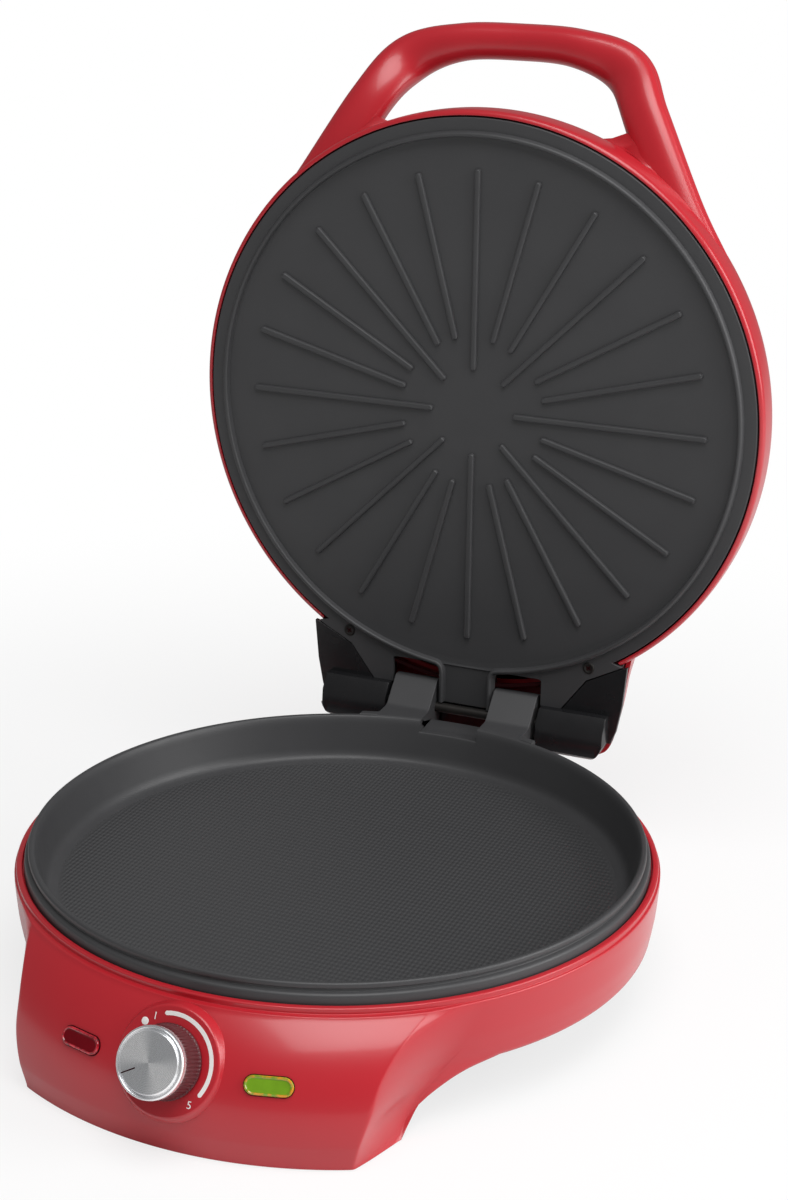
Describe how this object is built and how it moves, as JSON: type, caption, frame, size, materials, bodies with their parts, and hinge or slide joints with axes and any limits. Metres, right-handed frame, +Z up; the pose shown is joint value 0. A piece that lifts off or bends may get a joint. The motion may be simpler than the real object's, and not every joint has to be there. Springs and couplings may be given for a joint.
{
  "type": "electric pizza maker",
  "caption": "Countertop electric pizza maker: a deep round non-stick pan in a low red base under a hinged red lid with a ribbed plate and an arched handle, open.",
  "frame": {"origin": "on the floor, in the middle of the whole width and depth of the cooker with its lid open", "axes": "+X to the right of someone facing the controls, +Y from the controls towards the hinge, +Z up"},
  "size_m": [0.33, 0.4604, 0.4563],
  "materials": {
    "red_plastic": "high gloss",
    "non_stick_coating": "satin non-stick coating on cast aluminium",
    "black_plastic": "fine matt",
    "steel": "zinc plated",
    "brushed_aluminium": "turned, fine circular lines",
    "maroon_plastic": "satin",
    "red_lens": "clear tinted",
    "green_lens": "clear tinted",
    "heater_sheath": "heat darkened",
    "aluminised_steel": "bright rolled sheet",
    "ceramic": null,
    "natural_nylon": "natural",
    "grey_rubber": "matt"
  },
  "bodies": {
    "base": {"base_shell": "red_plastic", "bottom_cover": "black_plastic", "lower_plate": "non_stick_coating", "hinge_rod": "steel", "lower_heater": "heater_sheath", "lower_reflector": "aluminised_steel", "lower_thermal_fuse": "steel", "power_lens": "red_lens", "ready_lens": "green_lens", "power_lamp_holder": "natural_nylon", "ready_lamp_holder": "natural_nylon", "terminal_block": "natural_nylon", "thermostat_body": "ceramic", "thermostat_back": "steel", "thermostat_bracket": "steel", "thermostat_nut": "steel", "cord_gland": "black_plastic", "front_foot_left": "grey_rubber", "front_foot_right": "grey_rubber", "rear_foot_left": "grey_rubber", "rear_foot_right": "grey_rubber"},
    "knob": {"knob_cap": "brushed_aluminium", "knob_skirt": "maroon_plastic", "thermostat_shaft": "steel"},
    "lid": {"lid_shell": "red_plastic", "handle_cover": "red_plastic", "upper_plate": "non_stick_coating", "lid_hinge_cover": "black_plastic", "upper_heater": "heater_sheath", "upper_reflector": "aluminised_steel", "upper_thermal_fuse": "steel"}
  },
  "joints": [
    {"name": "lid_hinge", "type": "hinge", "parent": "base", "child": "lid", "pos_m": [0, 0.15852, 0.0751], "axis": [1, 0, 0], "range_deg": [0, 90]},
    {"name": "dial_turn", "type": "hinge", "parent": "base", "child": "knob", "pos_m": [0, -0.20582, 0.04341], "axis": [0, -0.8889, 0.458], "range_deg": [-265, 0]}
  ]
}
